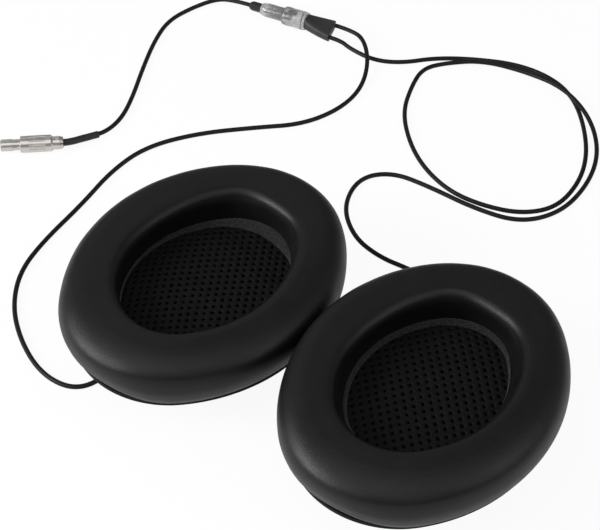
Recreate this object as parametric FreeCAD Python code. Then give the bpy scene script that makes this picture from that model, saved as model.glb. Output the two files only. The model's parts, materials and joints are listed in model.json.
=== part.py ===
import FreeCAD, Part
import math
import os

os.makedirs("parts", exist_ok=True)
V = FreeCAD.Vector

# A pair of helmet ear cups lying on their backs, ear seals up, joined by a Y lead to a push-pull plug.
# Millimetres and degrees. The origin is on the ground, under the middle of the two cups.

# Where each cup lies: its centre, the heading of its long axis, and the bearing of its cord outlet.
cups = {
    "left": {"centre": (-35.0, 24.8), "heading": 48.9, "outlet": 214.0},
    "right": {"centre": (35.8, -24.1), "heading": 53.1, "outlet": 78.0},
}

# Oval plan of a cup: an outline of four arcs, which meet where the outline's normal has this angle.
seal_length = 105.0
seal_width = 85.6
arc_meeting = 48.0

# Hard shell. An inset is how far a part lies inside the seal's widest outline.
pad_thickness = 1.6
pad_inset = 18.5
foot_inset = 17.0
shell_depth = 12.0
bowl_inset = 8.0
shell_wall = 1.8
flange_inset = 4.9
flange_thickness = 1.4
rebate_inset = 9.3
rebate_ledge = 1.8

# Baffle plate with its sound holes, and its screws, which go into bosses of the shell.
baffle_clearance = 0.2
sound_hole_radius = 3.0
sound_hole_count = 6
sound_ring_radius = 9.5
boss_places = ((21.5, 16.0), (21.5, -16.0), (-21.5, 16.0), (-21.5, -16.0))
boss_radius = 2.6
screw_radius = 0.9
screw_length = 6.5
screw_head_radius = 1.9
screw_head_height = 1.0
screw_clearance = 0.15

# Ring that the ear seal is mounted on, held by pegs that snap through the flange.
mount_ring_inset = 3.5
mount_ring_inner_inset = 12.0
mount_ring_thickness = 1.4
peg_count = 6
peg_inset = 6.7
peg_radius = 0.85
peg_clearance = 0.15
peg_reach = 0.5

# Ear seal: a leatherette cover round a core that is cut from a slab of foam.
seal_height = 23.0
seal_base_inset = 3.8
seal_lower_inset = 1.1
seal_lower_rise = 4.7
seal_widest_rise = 10.2
crest_inset = 7.0
crown_steps = 3
ear_length = 63.2
ear_width = 47.0
ear_shift = 2.0
ear_floor_rise = 10.5
ear_rim_rise = 15.2
ear_rim_growth = 3.8
ear_crest_growth = 11.0
mouth_steps = 2
core_inset = 5.3
core_growth = 6.8
core_rise = 1.5
core_height = 17.4
core_clearance = 0.3

# Inside the ear opening: a knitted band, the spacer mesh over the speaker, and the damping foam.
mesh_inset = 1.8
mesh_rise = 9.4
mesh_thickness = 2.2
mesh_crown = 0.8
mesh_crown_inset = 9.0
band_thickness = 0.7
band_lip = 0.3
soft_gap = 0.3

# Speaker capsule, hung under the baffle plate.
basket_radius = 18.6
basket_wall = 1.4
basket_depth = 3.6
basket_floor = 1.0
vent_count = 4
vent_radius = 2.6
yoke_radius = 8.6
yoke_wall = 1.0
yoke_depth = 4.4
yoke_floor = 1.0
magnet_radius = 5.9
magnet_thickness = 2.4
pole_radius = 6.2
coil_radius = 6.6
coil_wall = 0.5
coil_depth = 4.0
diaphragm_clearance = 0.3
diaphragm_thickness = 0.25
diaphragm_drop = 1.8
dome_rise = 1.0
dome_radius = 4.5
terminal_length = 7.0
terminal_width = 5.0
terminal_thickness = 0.8
terminal_pad = 1.2
lead_wire_radius = 0.4
lead_wire_spacing = 2.0
lead_wire_gap = 0.3

# Cord outlet of a cup: a tilted strain relief through the shell's slanted wall.
outlet_height = 4.1
outlet_tilt = 20.0
outlet_inset = 15.0
outlet_inside = 5.5
outlet_outside = 4.6
outlet_radius = 1.5
outlet_tip_radius = 1.15
outlet_collar_radius = 2.1
outlet_collar_thickness = 0.8
outlet_clearance = 0.1
outlet_bore_length = 12.0

# Cords. Their solids are many-sided, and as large inside their corners as the arcs allow.
cord_radius = 0.85
cord_sides = 8
arc_share = 0.45

# Push-pull plug: its tip, its heading on the ground and the height of its axis.
plug_tip = (-114.75, 116.85)
plug_heading = 4.7
plug_axis_height = 3.3
nose_length = 7.3
nose_radius = 2.25
nose_wall = 0.35
nose_chamfer = 0.3
nose_seat_length = 4.3
nose_relief = 0.2
key_width = 0.9
key_depth = 0.2
key_length = 3.6
latch_length = 1.6
latch_width = 1.2
latch_rise = 0.25
latch_back = 1.2
insulator_setback = 1.6
pin_count = 4
pin_radius = 0.25
pin_circle_radius = 1.0
pin_stand = 1.2
core_radius = 1.9
sleeve_radius = 3.15
sleeve_length = 12.1
sleeve_bore_clearance = 0.08
sleeve_travel = 1.0
sleeve_chamfer = 0.6
grip_start = 3.2
grip_length = 6.2
grip_count = 12
grip_radius = 0.45
grip_depth = 0.18
plug_shoulder_radius = 2.45
nut_gap = 1.1
nut_radius = 2.5
nut_end_radius = 2.1
nut_length = 2.7
nut_flat_spacing = 4.6
nut_flat_length = 1.3
collet_wall = 0.35
collet_slots = 4
collet_slot_width = 0.4
collet_slot_share = 0.7
heat_shrink_radius = 1.6
heat_shrink_sides = 12
heat_shrink_depth = 1.6
heat_shrink_points = ((1.6, 0.0, 3.3), (7.2, 3.0, 2.4), (12.6, 5.5, 1.65))
plug_lead_ahead = 3.5

# Junction where the plug lead meets the two cup leads: its inlet, heading and the height of its axis.
junction_inlet = (-23.3, 201.6)
junction_heading = -25.4
junction_axis_height = 3.8
collar_length = 4.9
collar_radius = 1.9
collar_mouth_radius = 1.4
collar_taper = 1.0
collar_flats = 6
collar_flat_depth = 0.15
front_sleeve_length = 10.0
front_sleeve_radius = 2.8
front_sleeve_mouth_radius = 2.25
front_sleeve_taper = 1.2
front_sleeve_end_wall = 1.0
rear_sleeve_length = 9.6
rear_sleeve_radius = 3.75
rear_sleeve_bevel_length = 0.8
rear_sleeve_bevel_depth = 0.5
sleeve_wall = 0.7
sleeve_lap = 1.0
end_ring_length = 1.2
end_ring_radius = 3.45
core_gap = 0.25
splice_start = 2.0
splice_length = 12.0
splice_width = 3.2
splice_thickness = 0.9
solder_joint_count = 3
solder_joint_radius = 0.6
solder_joint_height = 0.5
solder_joint_pitch = 3.4
solder_joint_offset = 0.5
junction_boot_length = 11.4
boot_spigot_radius = 2.4
boot_spigot_length = 2.0
boot_chamfer = 1.3
boot_root_width = 5.8
boot_root_thickness = 5.2
boot_end_width = 9.4
boot_end_thickness = 3.4
boot_droop = 1.7
lead_spacing = 6.8
exit_ahead = 5.5
inlet_ahead = 7.0

# Points of the free cords, on the ground except where one lies over another.
ground = cord_radius
over = 3.0
plug_lead_points = [
    (-71.0, 135.5, ground), (-67.6, 148.5, ground), (-65.0, 164.0, ground),
    (-61.2, 182.0, ground), (-56.3, 195.3, ground), (-47.0, 203.8, ground), (-37.0, 207.9, 2.2),
]
left_lead_points = [
    (-81.0, -1.4, ground), (-90.5, 6.0, ground), (-98.0, 20.0, ground), (-102.3, 36.0, ground),
    (-101.5, 53.0, ground), (-94.5, 68.5, ground), (-82.5, 87.5, ground), (-73.0, 105.5, ground),
    (-61.0, 119.0, ground), (-42.0, 126.6, ground), (-20.0, 130.0, ground), (-3.0, 131.8, ground),
    (11.0, 140.2, ground), (20.0, 152.5, ground), (23.2, 166.5, over), (21.5, 181.5, over),
]
right_lead_points = [
    (47.3, 28.5, ground), (47.6, 39.5, ground), (43.2, 48.5, ground), (34.6, 54.2, ground),
    (24.3, 60.3, ground), (15.5, 70.5, ground), (12.0, 86.5, ground), (18.0, 101.8, ground),
    (30.5, 104.8, ground),
    (44.0, 96.7, ground), (59.5, 85.2, ground), (75.5, 77.8, ground), (91.0, 83.5, ground),
    (102.5, 99.5, ground), (107.8, 117.0, ground), (105.8, 134.0, over), (97.5, 151.0, over),
    (84.0, 163.2, ground), (67.5, 168.2, 2.3), (53.0, 168.4, ground), (44.2, 165.0, ground),
    (39.5, 154.5, ground), (35.5, 139.0, ground), (37.3, 121.5, ground), (42.2, 107.0, ground),
    (50.8, 94.5, ground), (62.2, 86.9, ground), (76.0, 82.5, ground), (89.0, 85.7, ground),
    (98.3, 98.5, ground), (103.0, 113.5, ground), (103.6, 131.0, ground), (101.3, 147.0, ground),
    (94.5, 158.8, ground), (81.5, 167.6, ground), (64.5, 171.0, ground), (49.5, 171.6, ground),
    (36.0, 168.5, ground), (25.0, 170.3, ground), (16.0, 177.6, ground),
]


# Middle of the basket's floor, where its vents and the terminal board are.
vent_ring_radius = (yoke_radius + basket_radius - basket_wall) / 2

# Heights of a cup's layers above the ground.
shell_back = pad_thickness
shell_floor = shell_back + shell_wall
flange_top = shell_depth + flange_thickness
seal_base = flange_top + mount_ring_thickness
seal_top = seal_base + seal_height
baffle_under = shell_depth
baffle_top = flange_top


def oval(half_length, half_width, z, shift=0.0):
    """A closed outline of four tangent arcs, close to an ellipse, at height z."""
    meeting = math.radians(arc_meeting)
    share = 1 / math.cos(meeting) - math.tan(meeting)
    end_radius = (half_width - half_length * share) / (1 - share)
    side_radius = end_radius + (half_length - end_radius) / math.cos(meeting)
    end_centre = half_length - end_radius
    side_centre = half_width - side_radius

    def on_end(way, angle):
        x = way * (end_centre + end_radius * math.cos(angle))
        return V(shift + x, end_radius * math.sin(angle), z)

    def on_side(way, angle):
        y = way * (side_centre + side_radius * math.sin(angle))
        return V(shift + side_radius * math.cos(angle), y, z)

    far = math.pi - meeting
    middle = math.pi / 2
    arcs = [
        Part.Arc(on_end(1, -meeting), on_end(1, 0), on_end(1, meeting)),
        Part.Arc(on_side(1, meeting), on_side(1, middle), on_side(1, far)),
        Part.Arc(on_end(-1, meeting), on_end(-1, 0), on_end(-1, -meeting)),
        Part.Arc(on_side(-1, far), on_side(-1, middle), on_side(-1, meeting)),
    ]
    return Part.Wire([arc.toShape() for arc in arcs])


def cup_oval(inset, z):
    return oval(seal_length / 2 - inset, seal_width / 2 - inset, z)


def ear_oval(growth, z):
    return oval(ear_length / 2 + growth, ear_width / 2 + growth, z, ear_shift)


def stack(outlines):
    """A solid whose walls run straight from each outline to the next one."""
    return Part.makeLoft(outlines, True, True)


def slab(outline, thickness):
    return Part.Face(outline).extrude(V(0, 0, thickness))


def disc(radius, z, thickness):
    return Part.makeCylinder(radius, thickness, V(0, 0, z))


def turned(profile):
    """A solid turned about the vertical axis from (radius, height) points."""
    points = [V(r, 0, z) for r, z in profile]
    face = Part.Face(Part.makePolygon(points + [points[0]]))
    return face.revolve(V(0, 0, 0), V(0, 0, 1), 360)


def ring_places(count, radius, start=0.0):
    steps = [math.radians(start + 360.0 * k / count) for k in range(count)]
    return [V(radius * math.cos(a), radius * math.sin(a), 0) for a in steps]


def outline_at(bearing, inset):
    """How far the cup's outline, drawn in by inset, lies from its middle on this bearing."""
    a, b = seal_length / 2 - inset, seal_width / 2 - inset
    c, s = math.cos(math.radians(bearing)), math.sin(math.radians(bearing))
    return 1 / math.hypot(c / a, s / b)


def arc_path(points):
    """Straight runs joined by tangent arcs, each as large as its two runs allow."""
    edges, radii, start = [], [], points[0]
    for before, corner, after in zip(points, points[1:], points[2:]):
        run_in, run_out = corner - before, after - corner
        turn = run_in.getAngle(run_out)
        reach = arc_share * min(run_in.Length, run_out.Length)
        radii.append(reach / math.tan(turn / 2))
        way_in, way_out = V(run_in).normalize(), V(run_out).normalize()
        first, last = corner - way_in * reach, corner + way_out * reach
        inward = (way_out - way_in).normalize()
        middle = corner + inward * (radii[-1] / math.cos(turn / 2) - radii[-1])
        edges += [Part.LineSegment(start, first).toShape(), Part.Arc(first, middle, last).toShape()]
        start = last
    edges.append(Part.LineSegment(start, points[-1]).toShape())
    return Part.Wire(edges), radii


def tube(name, points, radius, sides):
    """A many-sided tube along a path, with a side underneath, and what it measures."""
    path, radii = arc_path(points)
    way = (points[1] - points[0]).normalize()
    across = way.cross(V(0, 0, 1)).normalize()
    above = across.cross(way)
    steps = [2 * math.pi * (k + 0.5) / sides for k in range(sides)]
    ring = [points[0] + (across * math.sin(a) - above * math.cos(a)) * radius for a in steps]
    solid = path.makePipeShell([Part.makePolygon(ring + [ring[0]])], True, False)
    section = sides / 2 * radius**2 * math.sin(2 * math.pi / sides)
    share = solid.Volume / (section * path.Length)
    print(f"{name}: length {path.Length:.1f}, volume share {share:.4f}, tightest radius {min(radii):.1f}")
    print("   radii", " ".join(f"{r:.0f}" for r in radii))
    print("   runs", " ".join(f"{(b - a).Length:.0f}" for a, b in zip(points, points[1:])))
    return solid


def cup_shell(outlet):
    """Hard bowl with a flange for the seal, a ledge for the baffle plate, bosses and a cord hole."""
    bowl = stack([cup_oval(foot_inset, shell_back), cup_oval(bowl_inset, shell_depth)])
    bowl = bowl.fuse(slab(cup_oval(flange_inset, shell_depth), flange_thickness))
    hollow = stack([
        cup_oval(foot_inset + shell_wall, shell_floor),
        cup_oval(rebate_inset + rebate_ledge, shell_depth),
    ])
    rebate = slab(cup_oval(rebate_inset, shell_depth), flange_thickness)
    shell = bowl.cut([hollow, rebate])
    bosses, holes = [], []
    for x, y in boss_places:
        bosses.append(Part.makeCylinder(boss_radius, shell_depth - shell_floor, V(x, y, shell_floor)))
        holes.append(Part.makeCylinder(screw_radius, screw_length, V(x, y, shell_depth - screw_length)))
    holes += [Part.makeCylinder(peg_radius + peg_clearance, flange_thickness, p) for p in peg_places()]
    return shell.fuse(bosses).cut(holes + [outlet_bore(outlet)]).removeSplitter()


def peg_places():
    a, b = seal_length / 2 - peg_inset, seal_width / 2 - peg_inset
    steps = [2 * math.pi * (k + 0.5) / peg_count for k in range(peg_count)]
    return [V(a * math.cos(s), b * math.sin(s), shell_depth) for s in steps]


def mount_ring():
    ring = slab(cup_oval(mount_ring_inset, flange_top), mount_ring_thickness)
    ring = ring.cut(slab(cup_oval(mount_ring_inner_inset, flange_top), mount_ring_thickness))
    pegs = [
        Part.makeCylinder(peg_radius, flange_thickness + peg_reach, p - V(0, 0, peg_reach))
        for p in peg_places()
    ]
    return ring.fuse(pegs)


def hook_pad():
    return slab(cup_oval(pad_inset, 0), pad_thickness)


def baffle_plate():
    plate = slab(cup_oval(rebate_inset + baffle_clearance, baffle_under), flange_thickness)
    spots = [V(0, 0, 0)] + ring_places(sound_hole_count, sound_ring_radius)
    holes = [Part.makeCylinder(sound_hole_radius, flange_thickness, p + V(0, 0, baffle_under)) for p in spots]
    for x, y in boss_places:
        spot = V(x, y, baffle_under)
        holes.append(Part.makeCylinder(screw_radius + screw_clearance, flange_thickness, spot))
    return plate.cut(holes)


def baffle_screws():
    screws = []
    for x, y in boss_places:
        shank_top = V(x, y, baffle_top)
        grip = screw_length + flange_thickness - screw_clearance
        shank = Part.makeCylinder(screw_radius - screw_clearance, grip, shank_top - V(0, 0, grip))
        head = Part.makeCylinder(screw_head_radius, screw_head_height, shank_top)
        screws.append(shank.fuse(head))
    return Part.makeCompound(screws)


def core_form(room):
    """The foam core, straight-walled, or with room the space for it inside the cover."""
    low = seal_base + core_rise - room
    height = core_height + 2 * room
    outside = slab(cup_oval(core_inset - room, low), height)
    return outside.cut(slab(ear_oval(core_growth - room, low), height))


def ear_seal_foam():
    return core_form(0)


def ear_seal_cover():
    """Cushion with drawn-in sides, a rounded crown and a flared mouth, round the space for its core."""
    widest = seal_base + seal_widest_rise
    sides = [
        cup_oval(seal_base_inset, seal_base),
        cup_oval(seal_lower_inset, seal_base + seal_lower_rise),
        cup_oval(0, widest),
    ]
    for k in range(1, crown_steps + 1):
        angle = math.pi / 2 * k / crown_steps
        inset = crest_inset * (1 - math.cos(angle))
        sides.append(cup_oval(inset, widest + (seal_top - widest) * math.sin(angle)))
    mouth = [ear_oval(0, seal_base), ear_oval(0, seal_base + ear_floor_rise)]
    rim = seal_base + ear_rim_rise
    for k in range(mouth_steps + 1):
        angle = math.pi / 2 * k / mouth_steps
        growth = ear_rim_growth + (ear_crest_growth - ear_rim_growth) * (1 - math.cos(angle))
        mouth.append(ear_oval(growth, rim + (seal_top - rim) * math.sin(angle)))
    return stack(sides).cut([stack(mouth), core_form(core_clearance)])


def spacer_mesh():
    low = seal_base + mesh_rise - mesh_thickness
    high = seal_base + mesh_rise
    crown = ear_oval(-mesh_inset - mesh_crown_inset, high + mesh_crown)
    return stack([ear_oval(-mesh_inset, low), ear_oval(-mesh_inset, high), crown])


def knitted_band():
    """Sloping knitted band from the seal's inner wall down to the edge of the mesh."""
    high, low = seal_base + ear_floor_rise, seal_base + mesh_rise
    under = low - band_thickness
    ring = stack([ear_oval(-soft_gap, under), ear_oval(-soft_gap, high)])
    throat = [ear_oval(soft_gap - mesh_inset, under), ear_oval(soft_gap - mesh_inset, low)]
    return ring.cut(stack(throat + [ear_oval(-soft_gap - band_lip, high)]))


def damping_foam():
    low = baffle_top + screw_head_height + soft_gap
    high = seal_base + mesh_rise - mesh_thickness - soft_gap
    return slab(ear_oval(-soft_gap, low), high - low)


def driver_basket(terminal_bearing):
    """Open frame of the speaker: a shallow cup with vents, and a hole that the coil works through."""
    low = basket_underside()
    body = disc(basket_radius, low, basket_depth)
    inner = disc(basket_radius - basket_wall, low + basket_floor, basket_depth - basket_floor)
    spots = ring_places(vent_count, vent_ring_radius, terminal_bearing + 180.0 / vent_count)
    vents = [Part.makeCylinder(vent_radius, basket_floor, p + V(0, 0, low)) for p in spots]
    return body.cut([inner, disc(yoke_radius - yoke_wall, low, basket_floor)] + vents)


def basket_underside():
    return baffle_under - basket_depth


def driver_yoke():
    low = basket_underside() - yoke_depth
    return disc(yoke_radius, low, yoke_depth).cut(disc(yoke_radius - yoke_wall, low + yoke_floor, yoke_depth))


def driver_magnet():
    return disc(magnet_radius, basket_underside() - yoke_depth + yoke_floor, magnet_thickness)


def driver_pole_plate():
    low = basket_underside() - yoke_depth + yoke_floor + magnet_thickness
    return disc(pole_radius, low, basket_underside() - low)


def diaphragm_seat():
    return baffle_under - diaphragm_drop


def voice_coil():
    low = diaphragm_seat() - coil_depth
    return disc(coil_radius + coil_wall, low, coil_depth).cut(disc(coil_radius, low, coil_depth))


def diaphragm():
    """A thin raised dome over the coil and a flat surround out to the basket."""
    low, thick = diaphragm_seat(), diaphragm_thickness
    rim, edge = basket_radius - basket_wall - diaphragm_clearance, coil_radius + coil_wall
    under = [(rim, low), (edge, low), (dome_radius, low + dome_rise), (0, low + dome_rise)]
    return turned(under + [(r, z + thick) for r, z in reversed(under)])


def terminal_board(bearing):
    board = Part.makeBox(terminal_length, terminal_width, terminal_thickness)
    inner = vent_ring_radius - terminal_length / 2
    board.translate(V(inner, -terminal_width / 2, basket_underside() - terminal_thickness))
    board.rotate(V(0, 0, 0), V(0, 0, 1), bearing)
    return board


def outlet_frame(bearing):
    """Puts a piece drawn along +X at the shell's wall, pointing outward and down on this bearing."""
    reach = outline_at(bearing, outlet_inset)
    turn = FreeCAD.Rotation(V(0, 0, 1), bearing)
    dip = FreeCAD.Rotation(V(0, 1, 0), outlet_tilt)
    wall_point = turn.multVec(V(reach, 0, 0)) + V(0, 0, outlet_height)
    return FreeCAD.Placement(wall_point, turn.multiply(dip))


def outlet_bore(bearing):
    start = V(-outlet_bore_length / 2, 0, 0)
    bore = Part.makeCylinder(outlet_radius + outlet_clearance, outlet_bore_length, start, V(1, 0, 0))
    bore.Placement = outlet_frame(bearing)
    return bore


def cord_outlet(bearing):
    """Strain relief: a collar inside the wall, a neck through it and a tapered nose outside."""
    neck_start = outlet_collar_thickness - outlet_inside
    relief = lengthwise([
        (-outlet_inside, 0), (-outlet_inside, outlet_collar_radius), (neck_start, outlet_collar_radius),
        (neck_start, outlet_radius), (outlet_outside / 2, outlet_radius), (outlet_outside, outlet_tip_radius),
        (outlet_outside, 0),
    ])
    relief.Placement = outlet_frame(bearing)
    return relief


def lead_wires(bearing):
    """Two thin wires from the strain relief to the terminal board."""
    start = outlet_frame(bearing).multVec(V(-outlet_inside - lead_wire_gap, 0, 0))
    turn = FreeCAD.Rotation(V(0, 0, 1), bearing)
    board_end = vent_ring_radius + terminal_length / 2 - terminal_pad
    end_height = basket_underside() - terminal_thickness - lead_wire_radius
    along = turn.multVec(V(board_end, 0, 0)) + V(0, 0, end_height) - start
    wires = []
    for side in (-0.5, 0.5):
        offset = turn.multVec(V(0, side * lead_wire_spacing, 0))
        wires.append(Part.makeCylinder(lead_wire_radius, along.Length, start + offset, along))
    return Part.makeCompound(wires)


def cup_pieces(cup):
    bearing = cup["outlet"] - cup["heading"]
    return {
        "hook_pad": hook_pad(),
        "cup_shell": cup_shell(bearing),
        "seal_mount_ring": mount_ring(),
        "baffle_plate": baffle_plate(),
        "baffle_screws": baffle_screws(),
        "ear_seal_cover": ear_seal_cover(),
        "ear_seal_foam": ear_seal_foam(),
        "knitted_band": knitted_band(),
        "spacer_mesh": spacer_mesh(),
        "damping_foam": damping_foam(),
        "driver_basket": driver_basket(bearing),
        "driver_yoke": driver_yoke(),
        "driver_magnet": driver_magnet(),
        "driver_pole_plate": driver_pole_plate(),
        "voice_coil": voice_coil(),
        "diaphragm": diaphragm(),
        "terminal_board": terminal_board(bearing),
        "lead_wires": lead_wires(bearing),
        "cord_outlet": cord_outlet(bearing),
    }


def cup_placement(cup):
    x, y = cup["centre"]
    return FreeCAD.Placement(V(x, y, 0), FreeCAD.Rotation(V(0, 0, 1), cup["heading"]))


def outlet_points(cup):
    """Where a cup's cord starts, and a point straight ahead of it on the ground."""
    frame = cup_placement(cup).multiply(outlet_frame(cup["outlet"] - cup["heading"]))
    start = frame.multVec(V(outlet_outside, 0, 0))
    drop = (start.z - ground) / math.sin(math.radians(outlet_tilt))
    return [start, frame.multVec(V(outlet_outside + drop, 0, 0))]


def lengthwise(profile):
    """A solid turned about the X axis from (x, radius) points."""
    points = [V(x, r, 0) for x, r in profile]
    face = Part.Face(Part.makePolygon(points + [points[0]]))
    return face.revolve(V(0, 0, 0), V(1, 0, 0), 360)


def rod(radius, start, end):
    return Part.makeCylinder(radius, end - start, V(start, 0, 0), V(1, 0, 0))


def plug_body():
    """Keyed nose with its latch arms, and the inner body that the sleeve slides on, up to the nut."""
    shoulder = nose_length + sleeve_length
    body = lengthwise([
        (0, 0), (0, nose_radius - nose_chamfer), (nose_chamfer, nose_radius), (nose_seat_length, nose_radius),
        (nose_seat_length, nose_radius - nose_relief), (nose_length, nose_radius - nose_relief),
        (nose_length, core_radius), (shoulder, core_radius), (shoulder, plug_shoulder_radius),
        (shoulder + nut_gap, plug_shoulder_radius), (shoulder + nut_gap, 0),
    ])
    mouth = rod(nose_radius - nose_wall, 0, nose_seat_length)
    keyway = Part.makeBox(key_length, key_width, key_depth * 2, V(0, -key_width / 2, nose_radius - key_depth))
    body = body.cut([mouth, keyway])
    latch_start = nose_length - latch_back - latch_length
    for way in (-1, 1):
        arm = Part.makeBox(latch_length, latch_width, latch_rise + nose_wall)
        arm.translate(V(latch_start, -latch_width / 2, nose_radius - nose_wall))
        arm.rotate(V(0, 0, 0), V(1, 0, 0), way * 90)
        body = body.fuse(arm)
    return body


def plug_insulator():
    block = rod(nose_radius - nose_wall, insulator_setback, nose_seat_length)
    depth = nose_seat_length - insulator_setback
    holes = [
        Part.makeCylinder(pin_radius, depth, V(insulator_setback, p.x, p.y), V(1, 0, 0))
        for p in ring_places(pin_count, pin_circle_radius, 45)
    ]
    return block.cut(holes)


def plug_contacts():
    front = insulator_setback - pin_stand
    return Part.makeCompound([
        Part.makeCylinder(pin_radius, nose_seat_length - front, V(front, p.x, p.y), V(1, 0, 0))
        for p in ring_places(pin_count, pin_circle_radius, 45)
    ])


def release_sleeve():
    """Outer sleeve with grip flutes. It stands on the nose's shoulder and slides back over the nut's neck."""
    start, end = nose_length, nose_length + sleeve_length
    bore = core_radius + sleeve_bore_clearance
    wide_bore = plug_shoulder_radius + sleeve_bore_clearance
    bore_step = end - sleeve_travel - sleeve_bore_clearance
    front_chamfer = sleeve_chamfer / 2
    sleeve = lengthwise([
        (start, bore), (start, sleeve_radius - front_chamfer), (start + front_chamfer, sleeve_radius),
        (end - sleeve_chamfer, sleeve_radius), (end, sleeve_radius - sleeve_chamfer), (end, wide_bore),
        (bore_step, wide_bore), (bore_step, bore),
    ])
    flutes = [
        Part.makeCylinder(grip_radius, grip_length, V(start + grip_start, p.x, p.y), V(1, 0, 0))
        for p in ring_places(grip_count, sleeve_radius + grip_radius - grip_depth)
    ]
    return sleeve.cut(flutes)


def back_nut():
    """Clamping nut behind the sleeve, with flats for a spanner and a bore for the collet."""
    start = nose_length + sleeve_length + nut_gap
    nut = lengthwise([
        (start, 0), (start, nut_radius), (start + nut_flat_length, nut_radius),
        (start + nut_length, nut_end_radius), (start + nut_length, 0),
    ])
    bore = rod(heat_shrink_radius + collet_wall, start, start + nut_length)
    flats = []
    for way in (-1, 1):
        flat = Part.makeBox(nut_flat_length, 2 * nut_radius, nut_radius)
        flat.translate(V(start, -nut_radius, nut_flat_spacing / 2))
        flat.rotate(V(0, 0, 0), V(1, 0, 0), 90 + way * 90)
        flats.append(flat)
    return nut.cut([bore] + flats)


def collet():
    """Slotted clamp that the nut closes on the cord."""
    start = nose_length + sleeve_length + nut_gap
    ring = rod(heat_shrink_radius + collet_wall, start, start + nut_length)
    ring = ring.cut(rod(heat_shrink_radius, start, start + nut_length))
    slot_length = nut_length * collet_slot_share
    for k in range(collet_slots // 2):
        slot = Part.makeBox(slot_length, 4 * heat_shrink_radius, collet_slot_width)
        slot.translate(V(start + nut_length - slot_length, -2 * heat_shrink_radius, -collet_slot_width / 2))
        slot.rotate(V(0, 0, 0), V(1, 0, 0), 45 + k * 360.0 / collet_slots)
        ring = ring.cut(slot)
    return ring


def plug_placement():
    x, y = plug_tip
    return FreeCAD.Placement(V(x, y, plug_axis_height), FreeCAD.Rotation(V(0, 0, 1), plug_heading))


def heat_shrink_route():
    """From inside the collet out to where the bare cord starts, sinking to the ground."""
    nut_end = nose_length + sleeve_length + nut_gap + nut_length
    frame = plug_placement()
    route = [V(nut_end - heat_shrink_depth, 0, 0)]
    for along, aside, height in heat_shrink_points:
        route.append(V(nut_end + along, aside, height - plug_axis_height))
    return [frame.multVec(p) for p in route]


def junction_placement():
    x, y = junction_inlet
    return FreeCAD.Placement(V(x, y, junction_axis_height), FreeCAD.Rotation(V(0, 0, 1), junction_heading))


def junction_collar():
    """Inlet bush with flats along it, drawn in where the cord enters."""
    outer = lengthwise([
        (0, 0), (0, collar_mouth_radius), (collar_taper, collar_radius),
        (collar_length, collar_radius), (collar_length, 0),
    ])
    flats = []
    for k in range(collar_flats):
        flat = Part.makeBox(collar_length, 2 * collar_radius, collar_radius)
        flat.translate(V(0, -collar_radius, collar_radius - collar_flat_depth))
        flat.rotate(V(0, 0, 0), V(1, 0, 0), 360.0 * k / collar_flats)
        flats.append(flat)
    return outer.cut(flats)


def front_sleeve():
    start, end = collar_length, collar_length + front_sleeve_length
    bore = front_sleeve_radius - sleeve_wall
    inside = start + front_sleeve_end_wall
    return lengthwise([
        (start, 0), (start, front_sleeve_mouth_radius), (start + front_sleeve_taper, front_sleeve_radius),
        (end + sleeve_lap, front_sleeve_radius), (end + sleeve_lap, bore), (inside, bore), (inside, 0),
    ])


def rear_sleeve():
    start = collar_length + front_sleeve_length
    end = start + rear_sleeve_length
    bore = front_sleeve_radius + core_gap
    return lengthwise([
        (start, bore), (start, rear_sleeve_radius - rear_sleeve_bevel_depth),
        (start + rear_sleeve_bevel_length, rear_sleeve_radius), (end, rear_sleeve_radius), (end, bore),
    ])


def end_ring():
    start = collar_length + front_sleeve_length + rear_sleeve_length
    bore = boot_spigot_radius + core_gap
    return lengthwise([
        (start, bore), (start, rear_sleeve_radius), (start + end_ring_length, end_ring_radius),
        (start + end_ring_length, bore),
    ])


def splice_board():
    """Small board inside the clear sleeves, where the three cords are joined."""
    start = collar_length + splice_start
    board = Part.makeBox(splice_length, splice_width, splice_thickness)
    board.translate(V(start, -splice_width / 2, -splice_thickness / 2))
    joints = []
    for k in range(solder_joint_count):
        along = splice_length / 2 + (k - (solder_joint_count - 1) / 2) * solder_joint_pitch
        aside = solder_joint_offset * (1 if k % 2 == 0 else -1)
        spot = V(start + along, aside, splice_thickness / 2)
        joints.append(Part.makeCylinder(solder_joint_radius, solder_joint_height, spot))
    return board.fuse(joints)


def boot_start():
    return collar_length + front_sleeve_length + rear_sleeve_length


def rectangle(x, width, thickness, z):
    corners = [V(x, i * width / 2, z + j * thickness / 2) for i, j in ((-1, -1), (1, -1), (1, 1), (-1, 1))]
    return Part.makePolygon(corners + [corners[0]])


def junction_boot():
    """Soft boot: a spigot in the sleeve, then a body that flattens and widens to the two cup leads."""
    neck = boot_start() + end_ring_length
    body = stack([
        rectangle(neck, boot_root_width, boot_root_thickness, 0),
        rectangle(boot_start() + junction_boot_length, boot_end_width, boot_end_thickness, -boot_droop),
    ])
    long_edges = [e for e in body.Edges if abs(e.Vertexes[0].X - e.Vertexes[1].X) > end_ring_length]
    body = body.makeChamfer(boot_chamfer, long_edges)
    return body.fuse(rod(boot_spigot_radius, boot_start() - boot_spigot_length, neck))


def junction_exit(side):
    """Where a cup lead starts at the boot's end, and a point straight ahead of it."""
    x = boot_start() + junction_boot_length
    frame = junction_placement()
    y = side * lead_spacing / 2
    return [frame.multVec(V(x, y, -boot_droop)), frame.multVec(V(x + exit_ahead, y, -boot_droop))]


def add(parts, pieces, placement):
    for name, shape in pieces.items():
        shape.Placement = placement.multiply(shape.Placement)
        parts[name] = shape


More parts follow.
